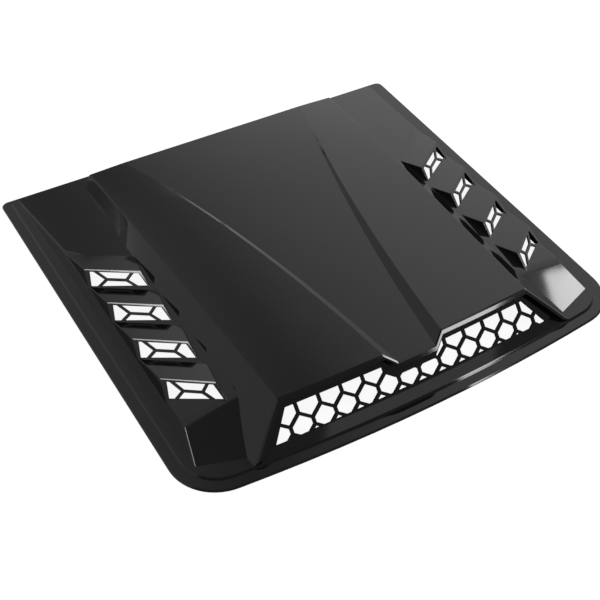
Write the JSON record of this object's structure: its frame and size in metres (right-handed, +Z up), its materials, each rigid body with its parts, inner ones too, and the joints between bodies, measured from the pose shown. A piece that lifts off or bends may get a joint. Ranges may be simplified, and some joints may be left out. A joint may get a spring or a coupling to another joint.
{
  "type": "car bonnet vent",
  "caption": "Low wedge-shaped bonnet panel with a raked scoop, a honeycomb mouth and rows of forked louvres along both sides.",
  "frame": {"origin": "middle of the panel's width and length, level with the underside of its rim", "axes": "+Z up away from the bonnet, +Y towards the windscreen, -Y towards the scoop's open mouth, +X across the bonnet"},
  "size_m": [0.5788, 0.557, 0.0508],
  "materials": {
    "vent_panel": "gloss black, moulded"
  },
  "bodies": {
    "root": {"vent_panel": "vent_panel"}
  },
  "joints": []
}
